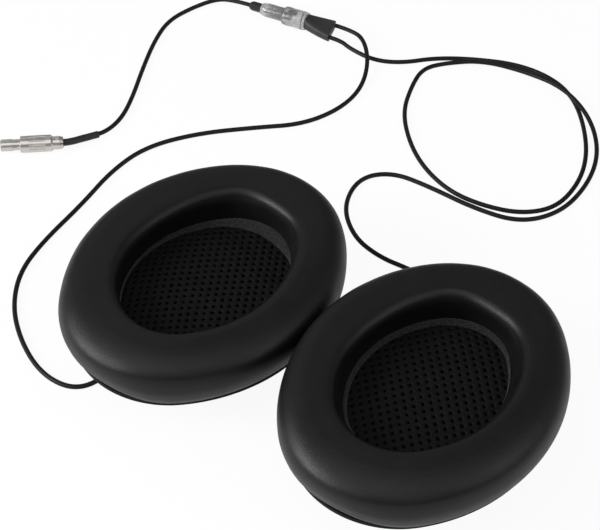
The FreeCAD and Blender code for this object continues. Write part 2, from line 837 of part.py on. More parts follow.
parts = {}
for side, cup in cups.items():
    named = {f"{side}_{name}": shape for name, shape in cup_pieces(cup).items()}
    add(parts, named, cup_placement(cup))
add(parts, {
    "plug_body": plug_body(),
    "plug_insulator": plug_insulator(),
    "plug_contacts": plug_contacts(),
    "plug_release_sleeve": release_sleeve(),
    "plug_back_nut": back_nut(),
    "plug_collet": collet(),
}, plug_placement())
add(parts, {
    "junction_collar": junction_collar(),
    "junction_front_sleeve": front_sleeve(),
    "junction_rear_sleeve": rear_sleeve(),
    "junction_end_ring": end_ring(),
    "junction_splice_board": splice_board(),
    "junction_boot": junction_boot(),
}, junction_placement())

shrink = heat_shrink_route()
parts["plug_heat_shrink"] = tube("heat shrink", shrink, heat_shrink_radius, heat_shrink_sides)
inlet = junction_placement()
lead_in = [inlet.multVec(V(-inlet_ahead, 0, 0)), inlet.multVec(V(0, 0, 0))]
lead_out = shrink[-1] + (shrink[-1] - shrink[-2]).normalize() * plug_lead_ahead
parts["plug_lead"] = tube(
    "plug lead", [shrink[-1], lead_out] + [V(*p) for p in plug_lead_points] + lead_in, cord_radius, cord_sides
)
for side, points, way in (("left", left_lead_points, 1), ("right", right_lead_points, -1)):
    start, ahead = outlet_points(cups[side])
    far = junction_exit(way)
    route = [start, ahead] + [V(*p) for p in points] + [far[1], far[0]]
    parts[f"{side}_lead"] = tube(f"{side} lead", route, cord_radius, cord_sides)

for name, shape in parts.items():
    if not shape.isValid():
        print("not valid:", name)
    shape.exportStep(f"parts/{name}.step")
print(len(parts), "sub-parts")
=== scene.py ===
# %% [markdown]
# The object is the audio set of a flying helmet: two oval ear cups that lie on their backs, three thin
# cords, a small clear junction and a slim push-pull plug. Its solids come packed from a CAD source, in
# place and in metres. Hard solids keep their shape here and only get a finish. The leather, the knits, the
# rubber and the cords get new meshes, because nothing soft is made of flat facets.

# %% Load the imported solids
import bmesh
import bpy
import json
import math
from mathutils import Matrix, Vector, noise


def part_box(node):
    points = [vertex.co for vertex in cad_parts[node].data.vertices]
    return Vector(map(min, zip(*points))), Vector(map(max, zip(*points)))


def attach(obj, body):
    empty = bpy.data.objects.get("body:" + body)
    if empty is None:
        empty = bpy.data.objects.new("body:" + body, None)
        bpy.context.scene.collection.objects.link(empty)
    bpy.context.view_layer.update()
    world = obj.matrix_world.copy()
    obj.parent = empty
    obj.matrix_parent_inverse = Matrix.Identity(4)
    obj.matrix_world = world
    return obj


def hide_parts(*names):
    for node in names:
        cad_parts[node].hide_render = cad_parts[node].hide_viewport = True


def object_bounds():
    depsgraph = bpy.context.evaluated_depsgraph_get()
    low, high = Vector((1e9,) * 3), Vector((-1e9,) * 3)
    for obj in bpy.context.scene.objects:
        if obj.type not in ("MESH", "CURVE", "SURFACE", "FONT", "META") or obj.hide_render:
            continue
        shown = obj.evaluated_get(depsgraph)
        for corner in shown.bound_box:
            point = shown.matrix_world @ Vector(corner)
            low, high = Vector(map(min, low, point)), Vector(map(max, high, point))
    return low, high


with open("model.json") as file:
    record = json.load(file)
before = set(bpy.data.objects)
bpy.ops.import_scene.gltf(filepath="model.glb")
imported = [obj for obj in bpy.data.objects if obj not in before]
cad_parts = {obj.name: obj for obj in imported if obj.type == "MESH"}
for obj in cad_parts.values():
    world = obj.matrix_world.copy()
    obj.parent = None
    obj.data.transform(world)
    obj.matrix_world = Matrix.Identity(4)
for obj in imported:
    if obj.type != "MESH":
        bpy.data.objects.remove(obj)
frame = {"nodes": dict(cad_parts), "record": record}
cad_low, cad_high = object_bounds()
mm = 0.001

# %% [markdown]
# A product photograph like this one is taken with a long lens from above the table's edge. A long lens
# keeps the near cup from looking larger than the far one. The camera's place was worked out from the two
# ear seals, whose ovals are the same size on the real set.

# %% Camera
camera_place = Vector((-3.56, -444.5, 495.5)) * mm
camera_tilt = 45.35
lens = 120.4

camera = bpy.data.objects.new("camera", bpy.data.cameras.new("camera"))
camera.location = camera_place
camera.rotation_euler = (math.radians(camera_tilt), 0, 0)
camera.data.lens = lens
camera.data.sensor_width = 36
camera.data.sensor_fit = "HORIZONTAL"
camera.data.clip_start = 0.01
bpy.context.scene.collection.objects.link(camera)
bpy.context.scene.camera = camera
print("camera", round((camera_place - (cad_low + cad_high) / 2).length, 3), "m from the middle of the set")

# %% [markdown]
# Every finish is a Principled shader whose varying parts come from noise and cells. Writing such maths
# with separate nodes is slow to read, so an output socket is wrapped in a small class: arithmetic on it
# adds the Math nodes, and one method adds any other node with its settings and its sockets.

# %% Shader maths
class Signal:
    """An output of a shader node. Arithmetic with it adds Math nodes to the same material."""

    def __init__(self, tree, socket=None):
        self.tree = tree
        self.socket = socket

    def node(self, kind, settings, sockets, output=0):
        """Adds a node: its settings first, then the values or signals of its sockets."""
        made = self.tree.nodes.new("ShaderNode" + kind)
        for name, value in settings.items():
            setattr(made, name, value)
        for name, value in sockets.items():
            connect(self.tree, made.inputs[name], value)
        return Signal(self.tree, made.outputs[output] if made.outputs else None)

    def maths(self, operation, *values):
        return self.node("Math", {"operation": operation}, dict(enumerate(values)))

    def __add__(self, other):
        return self.maths("ADD", self, other)

    def __sub__(self, other):
        return self.maths("SUBTRACT", self, other)

    def __rsub__(self, other):
        return self.maths("SUBTRACT", other, self)

    def __mul__(self, other):
        return self.maths("MULTIPLY", self, other)

    __radd__ = __add__
    __rmul__ = __mul__


def connect(tree, socket, value):
    if isinstance(value, Signal):
        tree.links.new(value.socket, socket)
    else:
        socket.default_value = value


print("shader maths ready")

# %% [markdown]
# A finish starts from the place on the surface in millimetres, so a pattern is given the size that it has
# on the real thing. What is the same all over is set once on the shader. What changes over the surface
# goes to the colour, the roughness or a bump. The Mix node has numbers, vectors and colours under the same
# names, so its colour sockets are picked by their order.

# %% Finishes
mix_share, mix_low, mix_high, mix_colour = 0, 6, 7, 2


class Finish:
    """A material: a Principled shader, and the place on the surface in millimetres as a signal."""

    def __init__(self, name, **fixed):
        self.material = bpy.data.materials.new(name)
        self.material.use_nodes = True
        self.tree = self.material.node_tree
        self.shader = self.tree.nodes["Principled BSDF"]
        for name, value in fixed.items():
            self.shader.inputs[name.replace("_", " ")].default_value = value
        metres = Signal(self.tree).node("TexCoord", {}, {}, "Object")
        self.place = metres.node("VectorMath", {"operation": "SCALE"}, {0: metres, "Scale": 1 / mm})

    def vary(self, **signals):
        for name, value in signals.items():
            connect(self.tree, self.shader.inputs[name.replace("_", " ")], value)

    def raise_surface(self, height, depth):
        """Bump: height runs from 0 to 1, and depth is its size in millimetres."""
        bump = height.node("Bump", {}, {"Strength": 1.0, "Distance": depth * mm, "Height": height})
        self.vary(Normal=bump)

    def noise(self, size, detail=2.0):
        """Cloudy noise about 0.5, with patches of this size in millimetres."""
        return self.place.node("TexNoise", {}, {"Vector": self.place, "Scale": 1 / size, "Detail": detail})

    def cells(self, size, feature="F1"):
        """Distance to scattered points, or to the borders between them."""
        return self.place.node("TexVoronoi", {"feature": feature}, {"Vector": self.place, "Scale": 1 / size})

    def blend(self, share, low, high):
        """A colour between two."""
        sockets = {mix_share: share, mix_low: low, mix_high: high}
        return share.node("Mix", {"data_type": "RGBA"}, sockets, mix_colour)


def grey(level, warmth=0.0):
    return (level * (1 + warmth), level, level * (1 - warmth), 1)


print("finishes can be mixed")

# %% [markdown]
# A cup's outline is a four-arc oval, as a draughtsman would draw it: two tight arcs at the ends and two
# wide ones at the sides, which meet where the outline faces 48 degrees off the long axis. A point on it is
# found from the direction that the outline faces. Offsets then stay true ovals, and the same direction on
# two ovals gives the two ends of one cross-section through the cushion.

# %% Ovals
arc_meeting = math.radians(48)


def on_oval(shape, facing, outward=0.0):
    """The point of an oval that faces this way, moved outward, in the cup's own millimetres."""
    half_length, half_width, shift = shape
    share = 1 / math.cos(arc_meeting) - math.tan(arc_meeting)
    end_radius = (half_width - half_length * share) / (1 - share)
    side_radius = end_radius + (half_length - end_radius) / math.cos(arc_meeting)
    c, s = math.cos(facing), math.sin(facing)
    if abs(s) < math.sin(arc_meeting):
        x, y = math.copysign(1, c) * (half_length - end_radius) + end_radius * c, end_radius * s
    else:
        x, y = side_radius * c, math.copysign(1, s) * (half_width - side_radius) + side_radius * s
    return Vector((shift + x + outward * c, y + outward * s, 0))


def all_round(steps):
    """Evenly spaced angles of a full turn."""
    return [2 * math.pi * k / steps for k in range(steps)]


print("an oval is made of four arcs")

# %% [markdown]
# Both cups have the same ovals: one round the seal, and one round the opening for the ear, which is a
# little nearer to one end. Each cup only lies in its own place, with its long axis on its own heading. Where
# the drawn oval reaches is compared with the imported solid, which shows that the two agree.

# %% Cups
seal_oval = (52.5, 42.8, 0.0)
ear_opening = (31.6, 23.5, 2.0)
cup_centre = {"left": Vector((-35.0, 24.8, 0)), "right": Vector((35.8, -24.1, 0))}
cup_heading = {"left": math.radians(48.9), "right": math.radians(53.1)}


def in_cup(side, point):
    """From a cup's own millimetres to metres on the table."""
    return (cup_centre[side] + Matrix.Rotation(cup_heading[side], 3, "Z") @ point) * mm


for side in cup_centre:
    low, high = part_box(f"{side}_ear_seal_cover")
    reach = max(in_cup(side, on_oval(seal_oval, facing)).x for facing in all_round(360))
    print(side, "seal: oval and solid differ by", round(abs(reach - high.x) / mm, 2), "mm")

# %% [markdown]
# All the new meshes are grids of points that wrap round a tube or a ring, so one helper turns rows of
# points into an object: it joins them with four-sided faces, turns the faces outward and shades them
# smooth. Every piece rides on a body of the CAD model, so that it follows when the model is posed.

# %% Pieces from rows of points
merge_distance = 0.002 * mm


def piece(name, points, faces, finish, replaces=()):
    mesh = bpy.data.meshes.new(name)
    mesh.from_pydata(points, [], faces)
    form = bmesh.new()
    form.from_mesh(mesh)
    bmesh.ops.remove_doubles(form, verts=form.verts, dist=merge_distance)
    bmesh.ops.recalc_face_normals(form, faces=form.faces)
    form.to_mesh(mesh)
    form.free()
    mesh.shade_smooth()
    made = bpy.data.objects.new(name, mesh)
    made.data.materials.append(finish)
    bpy.context.scene.collection.objects.link(made)
    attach(made, "root")
    if replaces:
        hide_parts(*replaces)
    return made


def skin(name, rows, finish, replaces=(), ring=True):
    """A piece from rows that close on themselves. A ring's last row joins its first. Else both get a cap."""
    count, steps = len(rows), len(rows[0])
    faces = []
    for i in range(count if ring else count - 1):
        for j in range(steps):
            near, far, after = i * steps, (i + 1) % count * steps, (j + 1) % steps
            faces.append((near + j, near + after, far + after, far + j))
    if not ring:
        faces += [tuple(range(steps)), tuple(range((count - 1) * steps, count * steps))]
    return piece(name, [p for row in rows for p in row], faces, finish, replaces)


print("pieces can be skinned")

# %% [markdown]
# A cushion's cross-section is easier to draw with a few knots than with many points. A Catmull-Rom curve
# goes through every knot without a corner, so a profile can be read and mended knot by knot.

# %% Smooth loops
def smooth_loop(knots, steps):
    """A closed curve through the knots, with this many points from each knot to the next."""
    count, curve = len(knots), []
    for k in range(count):
        before, start, end, after = (knots[(k + j) % count] for j in (-1, 0, 1, 2))
        for step in range(steps):
            t = step / steps
            bend = 2 * before - 5 * start + 4 * end - after
            twist = 3 * (start - end) + after - before
            curve.append(start + 0.5 * t * ((end - before) + t * (bend + t * twist)))
    return curve


square = [Vector((x, y, 0)) for x, y in ((1, 1), (-1, 1), (-1, -1), (1, -1))]
print("a loop through", len(square), "knots gets", len(smooth_loop(square, 3)), "points")

# %% [markdown]
# The cords are thin, limp instrument cable. A cable keeps its length and bends in even curves, so each one
# is a NURBS curve of order 3 whose control points are the corners of its route. Where a cord crosses
# another it rises in a long low hump. Points are millimetres on the table.

# %% Routes of the cords
cord_radius = 0.85
table = cord_radius
over = 3.0
plug_lead_route = [
    (-79.52, 125.26, 1.65), (-76.5, 126.98, 1.21), (-71.0, 135.5, table), (-67.6, 148.5, table),
    (-65.0, 164.0, table), (-61.2, 182.0, table), (-56.3, 195.3, table), (-47.0, 203.8, table),
    (-37.0, 207.9, 2.2), (-29.62, 204.6, 3.8), (-23.3, 201.6, 3.8),
]
left_lead_route = [
    (-68.86, 1.96, 2.53), (-72.68, -0.62, table), (-81.0, -1.4, table), (-90.5, 6.0, table),
    (-98.0, 20.0, table), (-102.3, 36.0, table), (-101.5, 53.0, table), (-94.5, 68.5, table),
    (-82.5, 87.5, table), (-73.0, 105.5, table), (-61.0, 119.0, table), (-42.0, 126.6, table),
    (-20.0, 130.0, table), (-3.0, 131.8, table), (11.0, 140.2, table), (20.0, 152.5, table),
    (23.2, 166.5, over), (21.5, 181.5, over), (15.56, 186.91, 3.0), (10.59, 189.27, 3.1),
]
right_lead_route = [
    (43.98, 14.4, 2.53), (44.94, 18.91, table), (47.3, 28.5, table), (47.6, 39.5, table),
    (43.2, 48.5, table), (34.6, 54.2, table), (24.3, 60.3, table), (15.5, 70.5, table),
    (12.0, 86.5, table), (18.0, 101.8, table), (30.5, 104.8, table), (44.0, 96.7, table),
    (59.5, 85.2, table), (75.5, 77.8, table), (91.0, 83.5, table), (102.5, 99.5, table),
    (107.8, 117.0, table), (105.8, 134.0, over), (97.5, 151.0, over), (84.0, 163.2, table),
    (67.5, 168.2, 2.3), (53.0, 168.4, table), (44.2, 165.0, table), (39.5, 154.5, table),
    (35.5, 139.0, table), (37.3, 121.5, table), (42.2, 107.0, table), (50.8, 94.5, table),
    (62.2, 86.9, table), (76.0, 82.5, table), (89.0, 85.7, table), (98.3, 98.5, table),
    (103.0, 113.5, table), (103.6, 131.0, table), (101.3, 147.0, table), (94.5, 158.8, table),
    (81.5, 167.6, table), (64.5, 171.0, table), (49.5, 171.6, table), (36.0, 168.5, table),
    (25.0, 170.3, table), (16.0, 177.6, table), (12.64, 180.77, 2.1), (7.67, 183.13, 2.2),
]
print("routes with", len(plug_lead_route), len(left_lead_route), "and", len(right_lead_route), "corners")

# %% [markdown]
# Blender can measure a curve only as a mesh. So a guide with the same spline as the cord is turned into a
# line of points, which also gives the tubes round a cord their middle.

# %% Curves along a route
def route_curve(name, route, steps=12):
    """A curve object whose NURBS spline has the route's corners as control points."""
    curve = bpy.data.curves.new(name, "CURVE")
    curve.dimensions = "3D"
    curve.resolution_u = steps
    spline = curve.splines.new("NURBS")
    spline.points.add(len(route) - 1)
    for point, corner in zip(spline.points, route):
        point.co = (*(Vector(corner) * mm), 1)
    spline.order_u = 3
    spline.use_endpoint_u = True
    return bpy.data.objects.new(name, curve)


def route_points(route, steps=12):
    """Points read from the route's NURBS spline, in metres."""
    guide = route_curve("guide", route, steps)
    bpy.context.scene.collection.objects.link(guide)
    bpy.context.view_layer.update()
    line = bpy.data.meshes.new_from_object(guide)
    points = [v.co.copy() for v in line.vertices]
    bpy.data.meshes.remove(line)
    bpy.data.objects.remove(guide)
    return points


def line_length(points):
    return sum((b - a).length for a, b in zip(points, points[1:]))


for name, route in (("plug", plug_lead_route), ("left", left_lead_route), ("right", right_lead_route)):
    print(name, "lead is", round(line_length(route_points(route)) / mm, 1), "mm long")

# %% [markdown]
# A cable jacket of this kind is extruded polyurethane: black, satin, with a faint orange-peel and a few
# dull scuffs. The bump is much finer than the cord, or the cord would look lumpy.

# %% Cords
def cord_jacket():
    jacket = Finish("cord_jacket", Specular_IOR_Level=0.2)
    scuffs = jacket.noise(2.5, 4.0)
    peel = jacket.noise(0.35, 1.0)
    jacket.vary(
        Base_Color=jacket.blend(scuffs, grey(0.003), grey(0.008, 0.02)),
        Roughness=0.4 + scuffs * 0.2,
    )
    jacket.raise_surface(peel, 0.012)
    return jacket.material


jacket_finish = cord_jacket()


def lay_cord(name, route, node):
    cord = route_curve(name, route)
    cord.data.bevel_depth = cord_radius * mm
    cord.data.bevel_resolution = 5
    cord.data.use_fill_caps = True
    cord.data.materials.append(jacket_finish)
    bpy.context.scene.collection.objects.link(cord)
    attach(cord, "root")
    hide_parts(node)
    return cord


plug_cord = lay_cord("plug_cord", plug_lead_route, "plug_lead")
left_cord = lay_cord("left_cord", left_lead_route, "left_lead")
right_cord = lay_cord("right_cord", right_lead_route, "right_lead")
print("three cords laid")

# %% [markdown]
# The ear seals are the largest parts, and their leatherette is what the eye sees first. It is nearly
# black. Pores under a millimetre apart show as a fine grain, and a roughness that changes from pore to
# pore spreads the highlight into a soft sheen.

# %% Leatherette
def leatherette():
    leather = Finish("leatherette", Specular_IOR_Level=0.27)
    borders = leather.cells(0.7, "DISTANCE_TO_EDGE")
    pores = borders.maths("MINIMUM", borders, 0.3)
    cloud = leather.noise(9.0, 3.0)
    fine = leather.noise(0.25, 2.0)
    leather.vary(
        Base_Color=leather.blend(cloud, grey(0.0022, 0.02), grey(0.0044, 0.03)),
        Roughness=0.44 + (cloud - 0.5) * 0.16 + (fine - 0.5) * 0.4,
    )
    leather.raise_surface(pores * 2.2 + fine * 0.5, 0.03)
    return leather.material


leather_finish = leatherette()
print("leatherette mixed")

# %% [markdown]
# The cover is drawn tight over a ring of foam, and the foam has settled towards the front of the table.
# Simulated cloth would wander from such a tight skin, so each cross-section is a closed loop through knots
# instead. Its outer wall goes from the base up and over the shoulder. It is drawn twice, high as at the
# back and settled as at the front, and every section takes its share of both. A knot is an inset from the
# outer oval and a height, in millimetres.

# %% Outer wall of a seal
high_wall = [
    (3.9, 14.8), (3.3, 15.0), (2.4, 15.7), (1.6, 16.8), (1.0, 18.3), (0.6, 20.0), (0.3, 21.8), (0.1, 23.6),
    (0.05, 25.4), (0.1, 27.2), (0.25, 29.0), (0.5, 30.8), (0.9, 32.5), (1.6, 34.0), (2.7, 35.2), (4.2, 35.95),
    (6.2, 36.2), (8.4, 36.1),
]
settled_wall = [
    (3.9, 14.8), (3.3, 15.0), (2.4, 15.8), (1.6, 17.0), (0.9, 18.5), (0.4, 20.1), (0.1, 21.6), (0.0, 23.0),
    (0.05, 24.4), (0.2, 25.8), (0.5, 27.1), (1.0, 28.35), (1.75, 29.5), (2.8, 30.6), (4.1, 31.6),
    (5.5, 32.45), (6.9, 33.1), (8.0, 33.5),
]


def settling(side, facing):
    """0 on the side towards the back of the table, 1 towards its front, and smooth between."""
    front = 0.5 - 0.5 * math.sin(facing + cup_heading[side])
    return front * front * (3 - 2 * front)


for name, wall in (("back", high_wall), ("front", settled_wall)):
    print("shoulder at the", name, wall[-1][1], "mm high")

# %% [markdown]
# The inner knots go down from the crown. It ends in a narrow ridge, and the wall below it falls steeply to
# a foot beside the knitted band. Ridge and foot are ovals of their own, because a soft cushion never keeps
# the exact outline of its foam. So a knot there has its share of the way from foot to ridge, its growth
# beyond that, and its drop below the top of the crown. The last ones go on from the foot to the underside.

# %% Inner wall of a seal
lip_knots = [
    (1.0, 2.8, -0.15), (1.0, 1.5, 0.0), (1.0, 0.7, 0.15), (1.0, 0.0, 0.5), (1.0, -0.75, 1.1),
    (1.0, -1.3, 1.85), (1.0, -1.65, 2.75), (0.9, -1.75, 3.8), (0.7, -1.5, 5.2), (0.5, -1.1, 6.7),
    (0.3, -0.65, 8.3), (0.12, -0.25, 9.8), (0.0, 0.0, 11.2), (0.0, -0.5, 12.4),
]
under_knots = [(0.0, 21.5), (0.0, 18.0), (0.0, 15.6), (0.7, 14.8), (5.0, 14.8)]
high_crown, settled_crown = 35.6, 34.3
settled_slope = 0.12
foot_height = 24.2
foot_growth = {"left": 1.3, "right": 0.6}
foot_shift = {"left": Vector((-1.1, 0.45, 0)), "right": Vector((0.6, 0.9, 0))}
ridge_shift = Vector((-0.6, 0.2, 0))
front_ridge = {"left": (4.9, 1.2), "right": (5.2, 0.0)}
back_ridge = {"left": (3.0, 0.7), "right": (3.1, 0.7)}


def ridge_growth(side, facing):
    """How far the ridge lies outside the ear opening: evenly at the front, with corners at the back."""
    bearing = facing + cup_heading[side]
    front_mean, front_pinch = front_ridge[side]
    back_mean, back_corners = back_ridge[side]
    front = front_mean - front_pinch * math.cos(2 * bearing)
    back = back_mean + back_corners * math.cos(4 * bearing)
    settled = settling(side, facing)
    return front * settled + back * (1 - settled)


def inner_wall(side, facing):
    settled, ridge = settling(side, facing), ridge_growth(side, facing)
    top = high_crown + (settled_crown - high_crown) * settled
    squash = (top - foot_height) / (high_crown - foot_height)
    knots = []
    for share, beyond, drop in lip_knots:
        growth = ridge * share + foot_growth[side] * (1 - share) + beyond
        shift = ridge_shift * share + foot_shift[side] * (1 - share)
        height = top - drop * squash - settled * settled_slope * max(0, beyond)
        knots.append(on_oval(ear_opening, facing, growth) + shift + Vector((0, 0, height)))
    return knots + [on_oval(ear_opening, facing, growth) + Vector((0, 0, z)) for growth, z in under_knots]


print("inner wall has", len(inner_wall("left", 0)), "knots")

# %% [markdown]
# No hand-made cushion is even. The lower edge of these is drawn in at one end and hangs over the ring
# on one side, and the wall swells and spreads in places. Each such form is a smooth hump about one
# direction, with its size in millimetres and its direction and width in degrees.

# %% Uneven places of the seals
uneven_places = {
    "tuck": {"left": [(0.9, 183, 22), (0.3, -97, 16)], "right": [(0.9, 183, 22), (0.3, -97, 16)]},
    "hang": {"left": [(0.6, 222, 24)], "right": [(0.6, 222, 24), (0.5, -95, 18)]},
    "swell": {"left": [(0.4, 138, 22)], "right": [(0.4, 138, 22)]},
    "spread": {"left": [(0.45, -15, 28)], "right": [(0.2, -15, 28)]},
}


def bell(distance, width):
    """1 in the middle, and smoothly down to nothing."""
    return math.exp(-((distance / width) ** 2))


def hump(facing, middle, width):
    return bell(math.remainder(facing - math.radians(middle), 2 * math.pi), math.radians(width))


def uneven(kind, side, facing):
    return sum(size * hump(facing, middle, width) for size, middle, width in uneven_places[kind][side])


for kind in uneven_places:
    deepest = max(uneven(kind, "left", facing) for facing in all_round(90))
    print("left", kind, "at its deepest:", round(deepest, 2), "mm")

# %% [markdown]
# Now the outer wall can be drawn for any direction. The knots of both walls are mixed, and the uneven
# places move them, each at its own height. Where the crown is wide, the settled shoulder is stretched to
# reach across it, or a crease would run along its end.

# %% Knots of the outer wall
edge_width = 1.0
usual_crown_width = 12.6


def ramp(value, start, end):
    """0 up to the start, 1 from the end on, and even between."""
    return min(1, max(0, (value - start) / (end - start)))


def outer_wall(side, facing):
    settled = settling(side, facing)
    ridge = on_oval(ear_opening, facing, ridge_growth(side, facing)) + ridge_shift
    crown_width = (on_oval(seal_oval, facing) - ridge).dot(Vector((math.cos(facing), math.sin(facing), 0)))
    stretch = settled * ((crown_width - edge_width) / (usual_crown_width - edge_width) - 1)
    tuck, hang, swell, spread = (uneven(kind, side, facing) for kind in uneven_places)
    knots = []
    for high_knot, settled_knot in zip(high_wall, settled_wall):
        inset, height = Vector(high_knot).lerp(Vector(settled_knot), settled)
        inset += stretch * max(0, inset - edge_width)
        inset += tuck * ramp(height, 27, 20) - swell * bell(height - 26, 5) - spread * ramp(height, 18, 24)
        height -= hang * bell(height - 16.5, 2)
        knots.append(on_oval(seal_oval, facing, -inset) + Vector((0, 0, height)))
    return knots


print("outer wall has", len(outer_wall("left", 0)), "knots")

# %% [markdown]
# One loop through both walls is a cross-section, and 288 of them make the skin. Two soft noises lift it by
# up to a quarter of a millimetre, and only above the base, which the ring holds flat.

# %% Ear seals
sections = 288
between_knots = 3
soft_waves = ((0.2, 23), (0.05, 7))


def ear_seal(side):
    rows = []
    for facing in all_round(sections):
        row = []
        for point in smooth_loop(outer_wall(side, facing) + inner_wall(side, facing), between_knots):
            wave = sum(size * noise.noise(point / length) for size, length in soft_waves)
            lift = Vector((math.cos(facing), math.sin(facing), 0.6)) * wave * ramp(point.z, 16, 24)
            row.append(in_cup(side, point + lift))
        rows.append(row)
    seal = skin(f"{side}_seal_skin", rows, leather_finish, replaces=[f"{side}_ear_seal_cover"])
    return seal


for side in cup_centre:
    seal = ear_seal(side)
    print(seal.name, len(seal.data.polygons), "faces")

# %% [markdown]
# Foam shows its open cells wherever it is cut. Scattered points give the cells, with a bump of a fifth
# of a millimetre, and painted shade: dark in their middle, where the holes are, and lighter at the borders.

# %% Open-cell foam
def open_cell_foam():
    foam = Finish("foam", Roughness=0.95, Specular_IOR_Level=0.15)
    holes = foam.cells(0.6)
    # Painted shade: the holes in the cells are darker.
    foam.vary(Base_Color=foam.blend(holes, grey(0.02), grey(0.09)))
    foam.raise_surface(holes, 0.2)
    return foam.material


foam_finish = open_cell_foam()
print("foam mixed")

# %% [markdown]
# Inside the seal's skin is a ring cut from a slab of foam, and under the mesh lies a thin sheet of the same
# foam. Nobody sees the ring unless the cover comes off, but its cut edges are still a little rounded. The
# backing of the mesh and the back pads are slabs too, so one helper draws them all. A slab without a hole
# closes on a tiny oval in its middle.

# %% Foam rings and sheets
slab_sections = 96
slab_middle = 0.02


def slab_rows(side, outline, low, high, ease, hole=None):
    """Rows of a slab with eased edges. Outline and hole are ovals, each with its growth."""
    rim = [(-ease, low), (0, low + ease), (0, high - ease), (-ease, high)]
    oval, growth = outline
    rows = []
    for facing in all_round(slab_sections):
        row = [on_oval(oval, facing, growth + d) + Vector((0, 0, z)) for d, z in rim]
        if hole:
            hole_oval, hole_growth = hole
            row += [on_oval(hole_oval, facing, hole_growth - d) + Vector((0, 0, z)) for d, z in reversed(rim)]
        else:
            middle = on_oval(oval, facing, growth) * slab_middle
            row += [middle + Vector((0, 0, high)), middle + Vector((0, 0, low))]
        rows.append([in_cup(side, point) for point in row])
    return rows


for side in cup_centre:
    ring = slab_rows(side, (seal_oval, -6.8), 16.4, 32.2, 1.4, hole=(ear_opening, 7.4))
    core = skin(f"{side}_foam_ring", ring, foam_finish, replaces=[f"{side}_ear_seal_foam"])
    sheet = slab_rows(side, (ear_opening, -0.4), 14.8, 21.6, 0.6)
    damper = skin(f"{side}_foam_sheet", sheet, foam_finish, replaces=[f"{side}_damping_foam"])
print("foam rings and sheets cut")

# %% [markdown]
# A grey knitted band hides the joint between the seal and the mesh. The knit is heathered: light and dark
# fibres are spun together, with a stitch about every half millimetre. Noise of two sizes gives the fibres,
# and cells give the stitches, with painted shade in the gaps between them.

# %% Heather knit
def heather_knit():
    knit = Finish("grey_knit", Roughness=0.9, Specular_IOR_Level=0.2, Sheen_Weight=0.1, Sheen_Roughness=0.6)
    stitches = knit.cells(0.55)
    fibres = knit.noise(0.22, 3.0)
    heather = knit.noise(0.8, 3.0)
    # Painted shade: the gaps between the stitches are darker.
    light = (heather - 0.5) * 2.4 + 0.4 + (fibres - 0.5) * 0.8 - stitches * 0.3
    light = light.node("Clamp", {}, {"Value": light})
    knit.vary(Base_Color=knit.blend(light, grey(0.003), grey(0.023)))
    knit.raise_surface(1 - stitches, 0.16)
    return knit.material


knit_finish = heather_knit()
print("heather knit mixed")

# %% [markdown]
# The band slopes from the foot of the seal's wall down to the edge of the mesh. It is widest at the ends,
# because the mesh inside it is rounder than the opening. The left mesh lies crooked and hides its band at
# one end. A knot has its share of the way from wall to edge, its height, and which way it ripples.

# %% Knitted bands
mesh_edge = {"left": (30.25, 24.2, 0), "right": (30.6, 23.1, 0)}
mesh_middle = {"left": Vector((-0.95, -0.05, 0)), "right": Vector((1.8, 0.1, 0))}
crooked_reach = {"left": 2.0, "right": 0.0}
band_sections = 192
band_knots = [
    (0.0, 24.3, 0), (0.3, 24.25, 1), (0.5, 24.15, 0), (0.85, 23.85, -1),
    (1.0, 23.6, 0), (1.0, 23.35, 0), (0.5, 23.5, 0), (0.0, 24.0, 0),
]
band_tuck = 0.2
ripple_height, ripple_count = 0.06, 37


def mesh_reach(side, facing):
    """How far the mesh reaches past its oval."""
    return crooked_reach[side] * hump(facing, -50, 26)


def knitted_band(side):
    rows = []
    for facing in all_round(band_sections):
        wall = on_oval(ear_opening, facing, foot_growth[side] - band_tuck) + foot_shift[side]
        edge = on_oval(mesh_edge[side], facing, mesh_reach(side, facing)) + mesh_middle[side]
        ripple = ripple_height * math.sin(facing * ripple_count)
        row = [wall.lerp(edge, share) + Vector((0, 0, z + way * ripple)) for share, z, way in band_knots]
        rows.append([in_cup(side, point) for point in smooth_loop(row, 2)])
    band = skin(f"{side}_knit_band", rows, knit_finish, replaces=[f"{side}_knitted_band"])
    return band


for side in cup_centre:
    band = knitted_band(side)
    print(band.name, len(band.data.polygons), "faces")

# %% [markdown]
# The speaker is covered by spacer mesh: a stiff knit with straight rows of round eyes over a layer of
# upright yarns. Both are black, and the yarns below are darker still because little light gets there.

# %% Mesh yarns
def mesh_yarn():
    yarn = Finish("black_mesh", Roughness=0.7, Specular_IOR_Level=0.1)
    strands = yarn.noise(0.18, 3.0)
    worn = yarn.noise(14.0, 2.0)
    yarn.vary(Base_Color=yarn.blend(strands * 0.6 + worn * 0.5, grey(0.001), grey(0.0065)))
    yarn.raise_surface(strands, 0.16)
    return yarn.material


def upright_yarns():
    yarns = Finish("mesh_yarns", Roughness=0.95, Specular_IOR_Level=0.1)
    tufts = yarns.cells(0.4)
    yarns.vary(Base_Color=yarns.blend(tufts, grey(0.004), grey(0.001)))
    yarns.raise_surface(tufts, 0.2)
    return yarns.material


yarn_finish = mesh_yarn()
upright_finish = upright_yarns()
print("mesh yarns mixed")

# %% [markdown]
# A bump can't give the eyes their depth, so the face is real: each eye is a four-sided cell with a hole,
# and the cells share their borders. A cell is four rings of points, from its square border to the lower
# edge of its round eye. A ring has its roundness, its size and its height. The steps from eye to eye, along
# a row and across the rows, are vectors on the table, because each mesh was cut at its own slant.

# %% Cells of the mesh
eye_steps = {
    "left": (Vector((2.60, 0.18, 0)), Vector((0.34, 2.75, 0))),
    "right": (Vector((2.68, 0.74, 0)), Vector((-0.31, 2.91, 0))),
}
eye_half_length, eye_half_width = 0.6, 0.8
eye_rings = ((0.0, 1.15, 0.0), (0.3, 1.15, 0.04), (1.0, 1.0, -0.06), (1.0, 0.88, -0.5))


